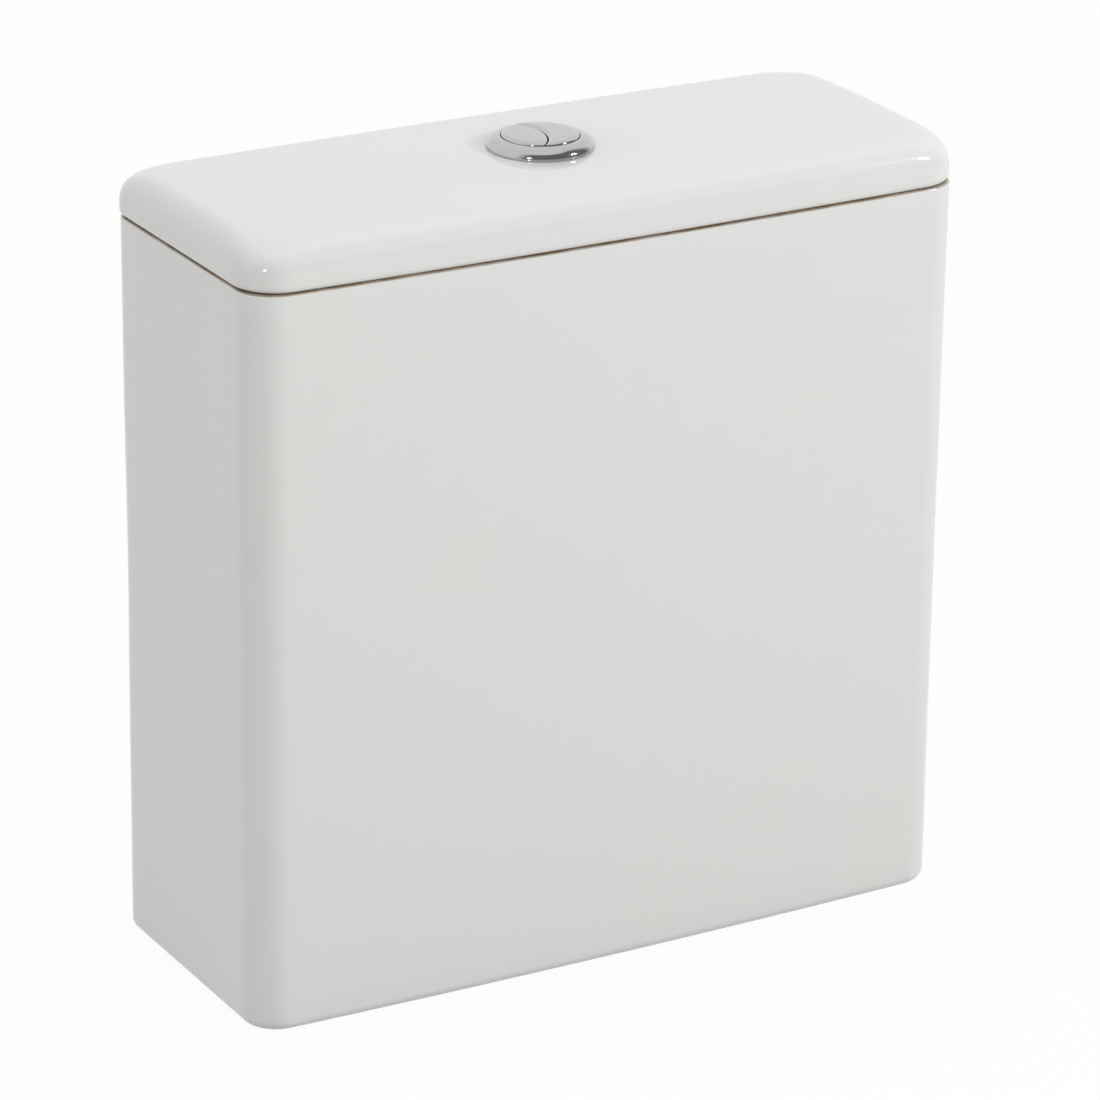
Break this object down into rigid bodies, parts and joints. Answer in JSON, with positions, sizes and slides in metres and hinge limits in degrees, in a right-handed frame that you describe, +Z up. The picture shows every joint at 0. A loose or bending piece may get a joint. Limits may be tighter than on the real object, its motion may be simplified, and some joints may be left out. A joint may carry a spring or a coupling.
{
  "type": "toilet cistern",
  "caption": "Close-coupled white china toilet cistern with a lift-off lid, a round chrome dual flush button, a drop flush valve and a bottom-entry fill valve.",
  "frame": {"origin": "middle of the cistern's footprint, on the plane of its foot rim", "axes": "+Z up, -Y to the front, +Y to the wall, +X to the right seen from the front"},
  "size_m": [0.3662, 0.1472, 0.3809],
  "materials": {
    "china": "white glossy glaze over vitreous china",
    "chrome": "bright chrome plate",
    "button_grey": "moulded light grey",
    "valve_white": "moulded white, satin",
    "valve_grey": "moulded blue-grey, satin",
    "valve_blue": "moulded blue, satin",
    "nut_black": "moulded black, satin",
    "rubber_black": "matt black rubber",
    "seal_silicone": "red-brown silicone",
    "foam_grey": "closed-cell foam, matt",
    "spring_steel": "drawn stainless wire",
    "bolt_steel": "zinc plated steel",
    "filter_blue": "fine blue moulding"
  },
  "bodies": {
    "cistern": {"cistern_body": "china", "flush_valve_base": "valve_white", "flush_valve_base_seal": "rubber_black", "flush_valve_backnut": "nut_black", "coupling_gasket": "rubber_black", "flush_valve_tower": "valve_white", "actuator_frame": "valve_grey", "lever_pins": "bolt_steel", "coupling_bolts": "bolt_steel", "bolt_sealing_washers": "rubber_black", "bolt_underfloor_washers": "rubber_black", "bolt_lock_nuts": "bolt_steel", "fill_valve_shank": "valve_white", "fill_valve_washer": "rubber_black", "fill_valve_backnut": "nut_black", "inlet_filter": "filter_blue", "fill_valve_column": "valve_white", "column_lock_ring": "valve_blue", "fill_valve_head": "valve_white", "diaphragm": "rubber_black", "fill_valve_cap": "valve_grey", "fill_valve_lever_pin": "bolt_steel", "silencer_tube": "valve_grey"},
    "lid": {"lid": "china", "button_bezel": "chrome", "button_housing": "button_grey", "button_foam_washer": "foam_grey", "button_clamp_nut": "button_grey", "half_button_spring": "spring_steel", "full_button_spring": "spring_steel"},
    "full_button": {"full_flush_button": "chrome", "full_push_rod": "button_grey"},
    "half_button": {"half_flush_button": "chrome", "half_push_rod": "button_grey"},
    "full_lever": {"full_flush_lever": "valve_blue"},
    "half_lever": {"half_flush_lever": "valve_blue"},
    "flush_valve": {"overflow_tube": "valve_grey", "flush_seal": "seal_silicone", "seal_retainer": "valve_grey", "full_flush_link": "valve_blue"},
    "half_flush_slide": {"half_flush_link": "valve_blue", "half_flush_float": "valve_white"},
    "fill_float": {"float_rod": "valve_grey", "float_cup": "valve_white"},
    "fill_lever": {"fill_valve_lever": "valve_blue"}
  },
  "joints": [
    {"name": "lid_lift", "type": "slide", "parent": "cistern", "child": "lid", "axis": [0, 0, 1], "range_m": [0, 0.12]},
    {"name": "full_button_press", "type": "slide", "parent": "lid", "child": "full_button", "axis": [0, 0, -1], "range_m": [0, 0.008], "stiffness_N_per_m": 250, "springref_m": -0.012, "deforming": ["full_button_spring"]},
    {"name": "half_button_press", "type": "slide", "parent": "lid", "child": "half_button", "axis": [0, 0, -1], "range_m": [0, 0.008], "stiffness_N_per_m": 250, "springref_m": -0.012, "deforming": ["half_button_spring"]},
    {"name": "full_lever_turn", "type": "hinge", "parent": "cistern", "child": "full_lever", "pos_m": [-0.0085, -0.004, 0.306], "axis": [0, 1, 0], "range_deg": [0, 28.96]},
    {"name": "half_lever_turn", "type": "hinge", "parent": "cistern", "child": "half_lever", "pos_m": [0.0085, 0.011, 0.306], "axis": [0, -1, 0], "range_deg": [0, 28.96]},
    {"name": "valve_lift", "type": "slide", "parent": "cistern", "child": "flush_valve", "axis": [0, 0, 1], "range_m": [0, 0.012]},
    {"name": "half_link_lift", "type": "slide", "parent": "cistern", "child": "half_flush_slide", "axis": [0, 0, 1], "range_m": [0, 0.012]},
    {"name": "fill_float_rise", "type": "slide", "parent": "cistern", "child": "fill_float", "axis": [0, 0, 1], "range_m": [0, 0.01]},
    {"name": "fill_lever_turn", "type": "hinge", "parent": "cistern", "child": "fill_lever", "pos_m": [0.1175, 0, 0.298], "axis": [0, 1, 0], "range_deg": [0, 13.68]}
  ],
  "couplings": [
    {"joint": "full_lever_turn", "follows": "full_button_press", "rad_per_m": 63.17},
    {"joint": "valve_lift", "follows": "full_button_press", "ratio": 1.5},
    {"joint": "half_lever_turn", "follows": "half_button_press", "rad_per_m": 63.17},
    {"joint": "half_link_lift", "follows": "half_button_press", "ratio": 1.5},
    {"joint": "fill_lever_turn", "follows": "fill_float_rise", "rad_per_m": 23.866}
  ]
}
